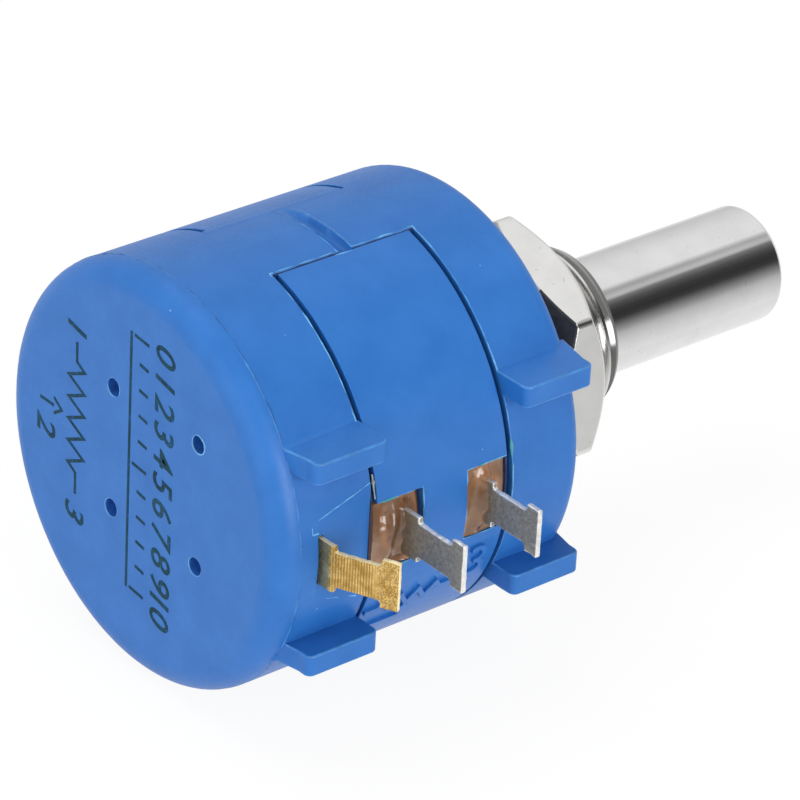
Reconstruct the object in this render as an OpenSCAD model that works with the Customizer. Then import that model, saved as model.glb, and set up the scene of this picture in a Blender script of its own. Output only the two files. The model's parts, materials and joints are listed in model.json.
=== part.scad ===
// Ten-turn wirewound panel potentiometer, millimetres.
// The pieces are drawn with the shaft axis along z, the mounting face at z = 0 and the
// terminals on the x side. lay() turns them so that the shaft points along x and the
// terminals point along minus y.

/* [Housing] */
// Diameter of the housing
body_d = 22.2; // [21.6:0.1:24]
// Distance from the last terminal to the rear face
tail_len = 2.69; // [2.5:0.01:3.2]
// Wall thickness of the front and rear covers
cover_wall = 0.9; // [0.7:0.05:1.0]
// Thickness of the front wall that carries the bushing
front_wall = 1.6; // [1.4:0.1:1.7]
// Thickness of the rear wall
rear_wall = 1.6; // [1.3:0.1:1.9]
// Rim radius round the mounting face
front_fillet = 0.9; // [0.4:0.1:1.2]
// Rim radius round the rear face
rear_fillet = 1.4; // [0.8:0.1:1.6]
// Wall thickness of the middle sleeve that holds the winding
sleeve_wall = 1.25; // [1.1:0.05:1.4]
// Distance from the rear end of the sleeve to the last terminal
sleeve_inset = 0.91; // [0.8:0.01:1.1]
// Radial clearance between the sleeve and the covers
sleeve_clear = 0.05; // [0.02:0.01:0.1]

/* [Panels and seams] */
// Distance from the front edge of the two sleeve panels to the first terminal
panel_lead = 1.4; // [1.3:0.05:1.6]
// Distance from the middle terminal to the rear edge of the panels
panel_tail = 1.67; // [1.5:0.01:1.8]
// Half of the angle that a panel spans
panel_half_angle = 76; // [70:1:78]
// Width of the gap in front of and behind a panel
panel_gap = 0.3; // [0.15:0.05:0.4]
// Width of the hairline gap beside a panel
side_gap = 0.06; // [0.04:0.01:0.15]
// Distance from the seam between the tongues to the middle terminal
seam_lead = 2.55; // [2.2:0.05:2.9]
// Width of the seam between the tongues
seam_gap = 0.85; // [0.4:0.05:1.2]
// Depth of the seam
seam_groove = 0.4; // [0.3:0.05:0.6]

/* [Tabs and rear face] */
// Height of a tab's outer face above the round of the housing
tab_proud = 0.62; // [0.3:0.02:1.2]
// Thickness of a tab
tab_thick = 1.15; // [0.9:0.05:1.5]
// Clear width between the upper and lower tabs
tab_spacing = 9.5; // [9:0.1:10.5]
// Corner radius of a tab
tab_round = 0.4; // [0.1:0.05:0.5]
// Extra length at the foot of a tab's sloped end
tab_draft = 0.6; // [0.2:0.1:0.8]
// Distance from the mounting face to the front tabs
front_tab_inset = 0.3; // [0.2:0.05:0.5]
// Drop of the flat behind the last terminal below the round of the housing
flat_drop = 0.2; // [0.05:0.01:0.3]
// Slope of that flat in degrees
flat_slope = 3.2; // [1:0.2:4]
// Diameter of the four round recesses in the rear face
dimple_d = 0.95; // [0.6:0.05:1.3]
// Depth of those recesses
dimple_depth = 0.7; // [0.3:0.1:1]
// Spacing of those recesses, which sit on a square
dimple_spacing = 6.8; // [6:0.1:7.4]
// Offset of that square from the shaft axis towards the terminals
dimple_shift = 1.3; // [0:0.1:2]
// Offset of that square across the terminals
dimple_side_shift = 0.85; // [0:0.05:1.2]

/* [Terminals] */
// Distance between terminals
terminal_pitch = 5.08; // [5:0.02:5.14]
// Distance from the mounting face to the middle terminal
terminal_mid = 11.43; // [11.37:0.02:11.51]
// Thickness of a terminal
terminal_thick = 0.28; // [0.2:0.02:0.4]
// Width of a terminal at its root
root_w = 2.5; // [2.2:0.1:2.7]
// Width of a terminal's neck
neck_w = 1.85; // [1.5:0.05:2]
// Width of a terminal's end
flange_w = 2.6; // [2.2:0.1:2.8]
// Height of the first terminal's shoulder above the round of the housing
first_proud = 0.65; // [0.5:0.05:1.4]
// Height of the middle terminal's shoulder above the round of the housing
mid_proud = 1.1; // [0.5:0.05:1.4]
// Height of the last terminal's shoulder above the round of the housing
last_proud = 0.85; // [0.6:0.05:1.4]
// Length of a terminal's neck
neck_len = 2.5; // [2:0.1:2.8]
// Length of a terminal's end
flange_len = 0.9; // [0.7:0.05:1.3]
// Corner radius beside a terminal's neck
notch_round = 0.2; // [0.1:0.02:0.24]
// Forward bend of the rear terminal in degrees
rear_bend = 25; // [10:1:30]
// Height of the sealed windows round the two front terminals
window_h = 3.9; // [3.4:0.1:4.4]
// Distance from a terminal to the closed end of its window
window_reach = 1.17; // [1:0.05:1.4]
// Depth of the sealing resin below the panels
resin_drop = 0.45; // [0.3:0.05:0.7]
// Thickness of the sealing resin
resin_thick = 1.1; // [0.9:0.05:1.2]

/* [Bushing and nut] */
// Thread diameter of the bushing
bushing_d = 9.525; // [9.3:0.005:9.9]
// Length of the bushing in front of the mounting face
bushing_len = 8.5; // [7.6:0.05:9.5]
// Chamfer at the end of the bushing
bushing_chamfer = 0.35; // [0.2:0.05:0.6]
// Diameter of the bushing's flange inside the housing
bushing_flange_d = 12.0; // [11.2:0.1:12.6]
// Thickness of that flange
bushing_flange_thick = 0.8; // [0.6:0.05:0.9]
// Width across the flats of the nut
nut_flats = 12.7; // [11.8:0.1:14]
// Thickness of the nut
nut_thick = 2.75; // [2.4:0.05:3]
// Distance from the mounting face to the nut
nut_stand = 3.1; // [2.6:0.05:3.6]
// Angle of a nut corner from the terminals in degrees
nut_turn = 25; // [0:1:59]
// Length of the nut's front corner chamfer
nut_chamfer = 1.1; // [0.5:0.05:1.3]
// Length of the nut's rear corner chamfer
nut_back_chamfer = 0.7; // [0.2:0.05:0.9]

/* [Shaft] */
// Diameter of the shaft
shaft_d = 6.35; // [6:0.01:6.6]
// Length of the shaft in front of the mounting face
shaft_len = 21.4; // [18:0.1:26]
// Chamfer at the end of the shaft
shaft_chamfer = 0.45; // [0.2:0.05:0.7]
// Radial amount by which the journal is smaller than the shaft
journal_step = 0.18; // [0.16:0.01:0.25]
// Radial running clearance in the bushing and in the rear bearing
run_clear = 0.04; // [0.03:0.005:0.06]
// Diameter of the shaft inside the housing
inner_shaft_d = 4.0; // [3.8:0.1:4.4]
// Diameter of the rear pivot
pivot_d = 3.0; // [2.4:0.1:3.4]
// Diameter at the bottom of the retaining ring's groove
ring_groove_d = 5.2; // [4.8:0.05:5.5]

/* [Winding and wiper] */
// Number of turns
turns = 10; // [4:1:10]
// Diameter of the winding's core with its wire
winding_wire_d = 0.5; // [0.4:0.02:0.56]
// Radius of the rotor hub as a share of the sleeve's inner radius
hub_share = 0.67; // [0.62:0.01:0.69]
// Distance from the rear end of the rotor hub to the last terminal
hub_inset = 2.52; // [2.4:0.02:2.8]
// Width of the slot that guides the carriage
guide_w = 2.6; // [2.3:0.1:3]
// Diameter of the rod that the carriage slides on
rod_d = 0.8; // [0.7:0.02:1]
// Place of that rod between the floor of its slot and the hub's rim
rod_share = 0.5; // [0.45:0.01:0.6]
// Length of the carriage along the shaft
carriage_len = 1.6; // [1.4:0.1:1.7]
// Thickness of the collector ring
collector_thick = 0.3; // [0.2:0.05:0.4]
// Gap at the tip of each wiping contact
contact_gap = 0.1; // [0.06:0.01:0.15]

/* [Hidden] */
$fn = 96;

blue = [0.20, 0.42, 0.78];
band_blue = [0.16, 0.45, 0.85];
gold = [0.83, 0.62, 0.22];
tin = [0.62, 0.62, 0.60];
nickel = [0.80, 0.80, 0.79];
resin_brown = [0.50, 0.30, 0.14];
natural = [0.86, 0.84, 0.78];

// Cuts run past the faces that they open by this much
past = 1;
// Pieces of one body that fit round each other are this far apart
fit_gap = 0.02;

body_r = body_d / 2;
cover_in_r = body_r - cover_wall;
sleeve_r = cover_in_r - sleeve_clear;
sleeve_in_r = sleeve_r - sleeve_wall;

terminal_first = terminal_mid - terminal_pitch;
terminal_last = terminal_mid + terminal_pitch;
body_len = terminal_last + tail_len;
cavity_rear = body_len - rear_wall;
sleeve_rear = terminal_last - sleeve_inset;
panel_front = terminal_first - panel_lead;
panel_rear = terminal_mid + panel_tail;
seam_depth = terminal_mid - seam_lead;
front_skirt = panel_front - panel_gap;
rear_skirt = panel_rear + panel_gap;
tongue_half_angle = 90 - panel_half_angle;
tab_len = front_skirt - front_tab_inset;
resin_r = body_r - resin_drop;
pocket_r = resin_r - resin_thick;

bushing_r = bushing_d / 2;
shaft_r = shaft_d / 2;
journal_r = shaft_r - journal_step;
bore_r = journal_r + run_clear;
flange_rear = front_wall + bushing_flange_thick;
washer_gap = 0.05;
washer_thick = 0.2;
washer_front = flange_rear + washer_gap;
ring_thick = 0.5;
ring_front = washer_front + washer_thick + washer_gap;
groove_r = ring_groove_d / 2;
ring_r = shaft_r + 1.4;
shaft_shoulder = ring_front + ring_thick + 0.4;

// The rotor hub fills the room between the retaining ring and the collector spring, and the
// winding's pitch is what the carriage's travel leaves for each turn
hub_gap = 0.19;
hub_end_wall = 0.5;
guide_end_gap = 0.2;
hub_front = shaft_shoulder + hub_gap;
hub_rear = terminal_last - hub_inset;
guide_front = hub_front + hub_end_wall;
guide_rear = hub_rear - hub_end_wall;
carriage_half = carriage_len / 2;
half_travel = (guide_rear - guide_front) / 2 - guide_end_gap - carriage_half;
winding_pitch = 2 * half_travel / turns;
winding_mid = (hub_front + hub_rear) / 2;
winding_r = sleeve_in_r - fit_gap - winding_wire_d / 2;
wire_sides = 6;
steps_per_turn = 24;
wire_steps = turns * steps_per_turn;
chord_dip = winding_r * (1 - cos(180 / steps_per_turn));

hub_r = hub_share * sleeve_in_r;
drum_share = 0.83;
drum_r = drum_share * hub_r;
hub_wall = 0.5;
guide_floor = inner_shaft_d / 2 + hub_wall;
rod_reach = guide_floor + rod_share * (hub_r - guide_floor);
slide_clear = 0.08;
saddle_clear = 0.2;
saddle_thick = 0.95;
saddle_in_r = hub_r + saddle_clear;
saddle_r = saddle_in_r + saddle_thick;
saddle_half_angle = 24;
leaf_thick = 0.15;
leaf_half_angle = 19;
contact_r = 0.2;
wiper_tip = winding_r - winding_wire_d / 2 - chord_dip - contact_gap;
rivet_r = 0.3;
rivet_angle = 13;

collector_rear = hub_rear + collector_thick;
collector_in_share = 0.5;
collector_out_share = 0.94;
collector_in_r = collector_in_share * hub_r;
collector_r = collector_out_share * hub_r;
spring_thick = 0.2;
spring_w = 1.6;
spring_tip_reach = (collector_in_r + collector_r) / 2;
spring_dimple_r = 0.3;
spring_inset = 0.5;
spring_foot = cover_in_r - spring_inset;
spring_root = 1.2;
root_lap = 0.6;

pivot_r = pivot_d / 2;
pivot_start = collector_rear + 0.4;
pivot_end = cavity_rear - 0.35;
boss_front = pivot_start + 0.6;
boss_r = pivot_r + 1.3;

stop_angle = saddle_half_angle + 3;
stop_width_angle = 8;
stop_overlap = 0.36;
stop_len = 0.8;
stop_in_r = saddle_r - 0.2;

slot_half_w = terminal_thick / 2 + fit_gap;
root_inset = 0.1;
terminal_slot_half_h = max(root_w, flange_w) / 2 + fit_gap;

// Laid down: the shaft along x, the terminals along minus y
module lay() {
    rotate([0, 90, 0]) rotate([0, 0, -90]) children();
}

// A tube between two depths behind the mounting face
module tube(r_out, r_in, front, rear) {
    translate([0, 0, -rear])
        difference() {
            cylinder(r = r_out, h = rear - front);
            translate([0, 0, -past]) cylinder(r = r_in, h = rear - front + 2 * past);
        }
}

// A wedge about the x axis, wider than the housing, between two depths
module wedge(half_angle, front, rear) {
    far = 3 * body_r;
    reach_y = far * sin(half_angle);
    translate([0, 0, -rear]) linear_extrude(rear - front)
        polygon([[0, 0], [far * cos(half_angle), -reach_y], [far, -reach_y],
                 [far, reach_y], [far * cos(half_angle), reach_y]]);
}

// A box between two x values and two depths, centred on y
module slab(x0, x1, width, front, rear) {
    translate([x0, -width / 2, -rear]) cube([x1 - x0, width, rear - front]);
}

// Half section of a closed cup with a rounded rim, its closed end at the top
module cup_section(r, depth, rim) {
    square([r - rim, depth]);
    square([r, depth - rim]);
    translate([r - rim, depth - rim]) circle(rim);
}

// The two tongues of a cover, between the panels
module tongues(front, rear) {
    half_angle = tongue_half_angle - asin(side_gap / body_r);
    for (side = [-90, 90])
        intersection() {
            tube(body_r, cover_in_r, front, rear);
            rotate([0, 0, side]) wedge(half_angle, front, rear);
        }
}

// Side view of a tab: its outer face on top, its sloped end on the left
module tab_side(len, reach) {
    square([len, reach - tab_round]);
    translate([tab_round, 0]) square([len - 2 * tab_round, reach]);
    for (x = [tab_round, len - tab_round])
        translate([x, reach - tab_round]) circle(tab_round);
    polygon([[-tab_draft, 0], [0, 0], [0, reach - 2 * tab_round]]);
}

// An upper and a lower tab. The sloped end points to the rear, or to the front if flipped
module tab_pair(front, flipped) {
    sunk = 3;
    foot = body_r - sunk;
    for (side = [-1, 1])
        difference() {
            translate([foot, side * (tab_spacing + tab_thick) / 2, 0])
                translate([0, tab_thick / 2, flipped ? -front : -front - tab_len])
                    mirror([0, 0, flipped ? 1 : 0])
                        rotate([90, 0, 0]) linear_extrude(tab_thick)
                            rotate([0, 0, 90]) mirror([0, 1, 0])
                                tab_side(tab_len, sunk + tab_proud);
            tube(body_r - cover_wall / 2, 0, -2 * past, body_len + 2 * past);
        }
}

module front_cover() lay() color(blue) {
    difference() {
        union() {
            rotate_extrude() difference() {
                translate([0, -front_skirt]) cup_section(body_r, front_skirt, front_fillet);
                translate([0, -front_skirt - past])
                    square([cover_in_r, front_skirt - front_wall + past]);
            }
            tongues(front_skirt - fit_gap, seam_depth - seam_gap / 2);
            tab_pair(front_tab_inset, true);
        }
        tube(bushing_r + fit_gap, 0, -past, front_wall + past);
    }
}

// The tilted flat that the rear terminal stands on, as the block that it removes
module flat_cut() {
    start = terminal_last + terminal_thick;
    translate([body_r - flat_drop, 0, -start]) rotate([0, -flat_slope, 0])
        translate([0, -body_r, 0]) cube([body_r, 2 * body_r, start]);
}

module rear_dimples() {
    for (x = [-1, 1], y = [-1, 1])
        translate([dimple_shift + x * dimple_spacing / 2,
                   -dimple_side_shift + y * dimple_spacing / 2, -body_len - past])
            cylinder(d = dimple_d, h = dimple_depth + past, $fn = 48);
}

module rear_cover() lay() color(blue) {
    depth = body_len - rear_skirt;
    tab_front = rear_skirt - panel_gap / 2;
    difference() {
        union() {
            difference() {
                rotate_extrude() difference() {
                    translate([0, -rear_skirt]) mirror([0, 1])
                        cup_section(body_r, depth, rear_fillet);
                    translate([0, -cavity_rear])
                        square([cover_in_r, cavity_rear - rear_skirt + past]);
                }
                flat_cut();
            }
            tongues(seam_depth + seam_gap / 2, rear_skirt + fit_gap);
            tab_pair(tab_front, false);
            tube(boss_r, pivot_r + run_clear, boss_front, cavity_rear + fit_gap);
        }
        rear_dimples();
        slab(cover_in_r - past, body_r + past, terminal_slot_half_h * 2,
             terminal_last - slot_half_w, terminal_last + slot_half_w);
    }
}

// The window round a terminal, open to the panel's edge on one side
module window(floor_r, front, rear) {
    difference() {
        slab(floor_r / 2, body_r + past, window_h, front, rear);
        tube(floor_r, 0, front - past, rear + past);
    }
}

// The two windows. grow moves the open ends past the edges of the panel
module windows(floor_r, grow) {
    window(floor_r, panel_front - grow, terminal_first + window_reach);
    window(floor_r, terminal_mid - window_reach, panel_rear + grow);
}

// Slots that let the terminal roots and the winding's ends meet under the windows
module lead_slots() {
    for (end = [-1, 1]) {
        terminal = end < 0 ? terminal_first : terminal_mid;
        winding_end = winding_mid + end * half_travel;
        near = min(terminal, winding_end);
        far = max(terminal, winding_end);
        slab(sleeve_in_r - past, pocket_r + past, root_w + 2 * fit_gap,
             terminal - slot_half_w, terminal + slot_half_w);
        slab(sleeve_in_r - past, pocket_r + past, winding_wire_d + 2 * fit_gap,
             near - winding_wire_d / 2, far + winding_wire_d / 2);
    }
}

// The lugs that stop the carriage at the ends of its travel
module stop_lugs() {
    for (end = [-1, 1]) {
        carriage_end = winding_mid - end * (half_travel + carriage_half - stop_overlap);
        front = min(carriage_end, carriage_end - end * stop_len);
        rear = max(carriage_end, carriage_end - end * stop_len);
        intersection() {
            tube(sleeve_in_r + fit_gap, stop_in_r, front, rear);
            rotate([0, 0, end * (stop_angle + stop_width_angle / 2)])
                wedge(stop_width_angle / 2, front, rear);
        }
    }
}

module element_housing() lay() color(band_blue) {
    difference() {
        union() {
            tube(sleeve_r, sleeve_in_r, front_wall, sleeve_rear);
            for (side = [0, 180])
                intersection() {
                    tube(body_r, sleeve_r - fit_gap, panel_front, panel_rear);
                    rotate([0, 0, side]) wedge(panel_half_angle, panel_front, panel_rear);
                }
            for (side = [-90, 90])
                intersection() {
                    tube(body_r - seam_groove, sleeve_r - fit_gap,
                         seam_depth - seam_gap / 2 + fit_gap,
                         seam_depth + seam_gap / 2 - fit_gap);
                    rotate([0, 0, side]) wedge(tongue_half_angle + 2, front_skirt, rear_skirt);
                }
            stop_lugs();
        }
        windows(pocket_r, past);
        lead_slots();
    }
}

// One ring of the winding's section at a given step
function wire_ring(step) =
    let (angle = (step / steps_per_turn - turns / 2) * 360,
         z = -winding_mid + (step / steps_per_turn - turns / 2) * winding_pitch)
    [for (k = [0 : wire_sides - 1])
        let (around = 360 * k / wire_sides,
             r = winding_r + winding_wire_d / 2 * cos(around))
        [r * cos(angle), r * sin(angle), z + winding_wire_d / 2 * sin(around)]];

module resistance_element() lay() color("saddlebrown") {
    last = wire_steps * wire_sides;
    polyhedron(
        points = [for (step = [0 : wire_steps]) each wire_ring(step)],
        faces = concat(
            [[for (k = [0 : wire_sides - 1]) k]],
            [for (step = [0 : wire_steps - 1], k = [0 : wire_sides - 1])
                let (base = step * wire_sides, next = (k + 1) % wire_sides)
                [base + k, base + wire_sides + k, base + wire_sides + next, base + next]],
            [[for (k = [0 : wire_sides - 1]) last + wire_sides - 1 - k]]),
        convexity = 10);
}

// A soldered lead between the winding's end and a terminal
module lead(end) {
    terminal = end < 0 ? terminal_first : terminal_mid;
    winding_end = winding_mid + end * half_travel;
    terminal_face = terminal + sign(winding_end - terminal) * terminal_thick / 2;
    front = min(terminal_face, winding_end);
    rear = max(terminal_face, winding_end);
    lead_r = (pocket_r - sleeve_in_r) / 2;
    translate([sleeve_in_r + lead_r, 0, -rear]) cylinder(r = min(lead_r, 0.2), h = rear - front);
}

module lead_front() lay() color(tin) lead(-1);

module lead_rear() lay() color(tin) lead(1);

// A rounded notch beside a terminal's neck, from the shoulder outwards
module neck_notch(depth) {
    hull_r = notch_round;
    translate([0, hull_r]) square([neck_len, depth + past]);
    translate([hull_r, 0]) square([neck_len - 2 * hull_r, depth + past]);
    for (x = [hull_r, neck_len - hull_r]) translate([x, hull_r]) circle(hull_r, $fn = 32);
}

// Flat pattern of a terminal beyond its shoulder, starting at x = 0
module terminal_end() {
    difference() {
        translate([0, -flange_w / 2]) square([neck_len + flange_len, flange_w]);
        for (side = [0, 1]) mirror([0, side]) translate([0, neck_w / 2])
            neck_notch((flange_w - neck_w) / 2);
    }
}

// A straight terminal in the plane across the shaft
module flat_terminal(depth, proud) {
    root = sleeve_in_r + root_inset;
    shoulder = body_r + proud;
    translate([0, 0, -depth - terminal_thick / 2]) linear_extrude(terminal_thick) {
        translate([root, -root_w / 2]) square([shoulder - root, root_w]);
        translate([shoulder - fit_gap, 0]) terminal_end();
    }
}

module terminal_front() lay() color(tin) flat_terminal(terminal_first, first_proud);

module terminal_rear() lay() color(tin) flat_terminal(terminal_mid, mid_proud);

// The rear terminal leaves the cover straight and is then bent forward
module wiper_terminal() lay() color(gold) {
    bend_r = 0.6;
    bend_start = body_r + last_proud - bend_r / 2;
    root_start = spring_foot - root_lap;
    far = 2 * (bend_r + terminal_thick);
    translate([0, 0, -terminal_last]) {
        translate([root_start, -root_w / 2, -terminal_thick / 2])
            cube([bend_start - root_start, root_w, terminal_thick]);
        translate([bend_start, 0, bend_r + terminal_thick / 2]) {
            rotate([90, 0, 0]) translate([0, 0, -root_w / 2])
                linear_extrude(root_w) intersection() {
                    difference() {
                        circle(bend_r + terminal_thick);
                        circle(bend_r);
                    }
                    polygon([[-fit_gap, 0], [-fit_gap, -far], [far * tan(rear_bend), -far],
                             [0, 0]]);
                }
            rotate([0, -rear_bend, 0])
                translate([-fit_gap, 0, -bend_r - terminal_thick])
                    linear_extrude(terminal_thick) terminal_end();
        }
    }
}

// The spring strip that joins the rear terminal to the collector ring
module collector_spring() lay() color(gold) {
    foot_z = -terminal_last + terminal_thick / 2;
    dimple_z = -collector_rear - contact_gap - spring_dimple_r;
    rise = dimple_z - foot_z - spring_thick / 2;
    knee = spring_foot - spring_root;
    rotate([90, 0, 0]) translate([0, 0, -spring_w / 2]) linear_extrude(spring_w) {
        translate([knee, foot_z]) square([spring_foot - knee, spring_thick]);
        polygon([[knee + spring_thick, foot_z], [knee + spring_thick, foot_z + spring_thick],
                 [spring_tip_reach, foot_z + rise + spring_thick],
                 [spring_tip_reach, foot_z + rise]]);
        translate([spring_tip_reach - 0.6, foot_z + rise]) square([0.6, spring_thick]);
    }
    translate([spring_tip_reach - 0.3, 0, dimple_z])
        sphere(r = spring_dimple_r, $fn = 48);
}

// Sealing resin in one window, round the root of a terminal
module resin(front, rear, terminal) {
    difference() {
        intersection() {
            tube(resin_r, pocket_r, front, rear);
            slab(0, body_r, window_h, front, rear);
        }
        slab(sleeve_in_r, body_r + past, root_w, terminal - terminal_thick / 2,
             terminal + terminal_thick / 2);
    }
}

module resin_front() lay() color(resin_brown)
    resin(panel_front, terminal_first + window_reach, terminal_first);

module resin_rear() lay() color(resin_brown)
    resin(terminal_mid - window_reach, panel_rear, terminal_mid);

module bushing() lay() color(nickel) {
    rotate_extrude() difference() {
        union() {
            translate([0, -flange_rear]) square([bushing_flange_d / 2, bushing_flange_thick]);
            polygon([[0, -front_wall - fit_gap], [bushing_r, -front_wall - fit_gap],
                     [bushing_r, bushing_len - bushing_chamfer],
                     [bushing_r - bushing_chamfer, bushing_len], [0, bushing_len]]);
        }
        translate([0, -flange_rear - past]) square([bore_r, flange_rear + bushing_len + 2 * past]);
    }
}

// Half section of the space inside a chamfered nut's outline
module nut_section(corner_r, run) {
    beyond = 0.2;
    rise = 1 + beyond / run;
    polygon([[0, 0], [corner_r - run, 0], [corner_r + beyond, nut_back_chamfer * rise],
             [corner_r + beyond, nut_thick - nut_chamfer * rise],
             [corner_r - run, nut_thick], [0, nut_thick]]);
}

module hex_nut() lay() color(nickel) {
    corner_r = nut_flats / 2 / cos(30);
    face_inset = 0.25;
    bore_chamfer = 0.35;
    nut_bore_r = bushing_r + fit_gap;
    translate([0, 0, nut_stand]) difference() {
        intersection() {
            rotate([0, 0, nut_turn]) cylinder(r = corner_r, h = nut_thick, $fn = 6);
            rotate_extrude() nut_section(corner_r, corner_r - nut_flats / 2 + face_inset);
        }
        rotate_extrude() {
            translate([0, -past]) square([nut_bore_r, nut_thick + 2 * past]);
            for (side = [0, 1]) translate([0, side * nut_thick]) mirror([0, side])
                polygon([[0, -past], [nut_bore_r + bore_chamfer + past, -past],
                         [nut_bore_r, bore_chamfer], [0, bore_chamfer]]);
        }
    }
}

module thrust_washer() lay() color(natural)
    tube(ring_r - 0.2, shaft_r + 0.1, washer_front, washer_front + washer_thick);

module shaft() lay() color(nickel) {
    step_z = bushing_len + 0.15;
    rotate_extrude() difference() {
        union() {
            polygon([[0, step_z], [shaft_r, step_z], [shaft_r, shaft_len - shaft_chamfer],
                     [shaft_r - shaft_chamfer, shaft_len], [0, shaft_len]]);
            translate([0, -shaft_shoulder]) square([journal_r, shaft_shoulder + step_z]);
            translate([0, -pivot_start])
                square([inner_shaft_d / 2, pivot_start - shaft_shoulder + fit_gap]);
            translate([0, -pivot_end]) square([pivot_r, pivot_end - pivot_start + fit_gap]);
        }
        translate([groove_r, -ring_front - ring_thick - fit_gap])
            square([shaft_r, ring_thick + 2 * fit_gap]);
    }
}

// Open spring ring with three inward lugs, in the shaft's groove
module retaining_ring() lay() color("silver") {
    lug_w = 1.6;
    seat_r = groove_r + fit_gap;
    translate([0, 0, -ring_front - ring_thick]) linear_extrude(ring_thick) difference() {
        union() {
            difference() {
                circle(ring_r);
                circle(ring_r - 0.9);
            }
            for (turn = [90, 180, 270]) rotate([0, 0, turn])
                translate([0, -lug_w / 2]) square([ring_r - 0.45, lug_w]);
        }
        circle(seat_r);
        translate([0, -groove_r * 0.8]) square([ring_r + past, groove_r * 1.6]);
    }
}

module rotor_hub() lay() color(natural) {
    rail_w = guide_w + 1.8;
    flange_thick = 0.8;
    bore = inner_shaft_d / 2 + fit_gap;
    difference() {
        union() {
            tube(drum_r, bore, hub_front, hub_rear);
            tube(hub_r, bore, hub_front, hub_front + flange_thick);
            tube(hub_r, bore, hub_rear - flange_thick, hub_rear);
            intersection() {
                tube(hub_r, bore, hub_front, hub_rear);
                slab(0, hub_r, rail_w, hub_front, hub_rear);
            }
        }
        slab(guide_floor, hub_r + past, guide_w, guide_front, guide_rear);
        translate([rod_reach, 0, -hub_rear - past])
            cylinder(d = rod_d + 2 * fit_gap, h = hub_rear - hub_front + 2 * past, $fn = 48);
    }
}

module guide_rod() lay() color(gold)
    translate([rod_reach, 0, -hub_rear])
        cylinder(d = rod_d, h = hub_rear - hub_front, $fn = 48);

module collector_ring() lay() color(gold)
    tube(collector_r, collector_in_r, hub_rear, collector_rear);

// The block that slides on the rod and carries the wiper over the hub
module carriage() lay() color("ivory") {
    front = winding_mid - carriage_half;
    rear = winding_mid + carriage_half;
    difference() {
        union() {
            intersection() {
                tube(saddle_r, saddle_in_r, front, rear);
                wedge(saddle_half_angle, front, rear);
            }
            slab(guide_floor + saddle_clear, saddle_in_r + saddle_thick / 2,
                 guide_w - 2 * slide_clear, front, rear);
        }
        translate([rod_reach, 0, -rear - past])
            cylinder(r = rod_d / 2 + run_clear, h = carriage_len + 2 * past, $fn = 48);
        for (side = [-1, 1]) rotate([0, 0, side * rivet_angle])
            translate([saddle_in_r - past, 0, -winding_mid]) rotate([0, 90, 0])
                cylinder(r = rivet_r + fit_gap, h = saddle_thick + 2 * past, $fn = 32);
    }
}

// A round-nosed pin that stands on z = 0
module contact_pin(len) {
    rotate_extrude($fn = 32) intersection() {
        union() {
            square([contact_r, len - contact_r]);
            translate([0, len - contact_r]) circle(contact_r);
        }
        square([contact_r, len]);
    }
}

module wiper_contact() lay() color(gold) {
    leaf_half_len = carriage_half * 0.7;
    leaf_r = saddle_r + leaf_thick;
    difference() {
        union() {
            intersection() {
                tube(leaf_r, saddle_r, winding_mid - leaf_half_len, winding_mid + leaf_half_len);
                wedge(leaf_half_angle, winding_mid - leaf_half_len, winding_mid + leaf_half_len);
            }
            translate([saddle_r + fit_gap, 0, -winding_mid]) rotate([0, 90, 0])
                contact_pin(wiper_tip - saddle_r - fit_gap);
        }
        for (side = [-1, 1]) rotate([0, 0, side * rivet_angle])
            translate([saddle_in_r, 0, -winding_mid]) rotate([0, 90, 0])
                cylinder(r = rivet_r + fit_gap, h = body_r, $fn = 32);
    }
}

// Two rivets that hold the wiper on the carriage
module wiper_rivet() lay() color(tin)
    for (side = [-1, 1]) rotate([0, 0, side * rivet_angle])
        translate([saddle_in_r, 0, -winding_mid]) rotate([0, 90, 0]) {
            cylinder(r = rivet_r, h = saddle_thick + leaf_thick + 0.05, $fn = 32);
            translate([0, 0, saddle_thick + leaf_thick + 0.03])
                cylinder(r = rivet_r + 0.15, h = 0.15, $fn = 32);
        }

front_cover();
rear_cover();
element_housing();
resistance_element();
lead_front();
lead_rear();
terminal_front();
terminal_rear();
wiper_terminal();
collector_spring();
resin_front();
resin_rear();
bushing();
hex_nut();
thrust_washer();
shaft();
rotor_hub();
retaining_ring();
guide_rod();
collector_ring();
carriage();
wiper_contact();
wiper_rivet();
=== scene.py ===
import json
import math

import bmesh
import bpy
from mathutils import Matrix, Vector, noise


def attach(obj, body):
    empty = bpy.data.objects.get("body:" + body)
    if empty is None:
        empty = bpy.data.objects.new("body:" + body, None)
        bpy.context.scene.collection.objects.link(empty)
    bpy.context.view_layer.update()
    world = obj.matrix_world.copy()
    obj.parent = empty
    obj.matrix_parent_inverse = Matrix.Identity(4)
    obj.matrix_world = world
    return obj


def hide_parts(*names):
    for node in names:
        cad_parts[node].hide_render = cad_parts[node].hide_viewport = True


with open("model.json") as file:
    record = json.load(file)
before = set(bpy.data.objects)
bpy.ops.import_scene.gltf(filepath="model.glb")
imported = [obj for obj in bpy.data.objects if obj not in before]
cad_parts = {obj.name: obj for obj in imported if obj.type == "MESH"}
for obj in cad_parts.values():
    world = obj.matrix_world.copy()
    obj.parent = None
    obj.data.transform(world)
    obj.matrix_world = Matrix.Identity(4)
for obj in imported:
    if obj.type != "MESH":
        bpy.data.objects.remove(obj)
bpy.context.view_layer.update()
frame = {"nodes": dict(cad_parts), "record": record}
mm = 0.001
noise.seed_set(4)      # else noise_vector differs from run to run
print("frame loaded")

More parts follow.
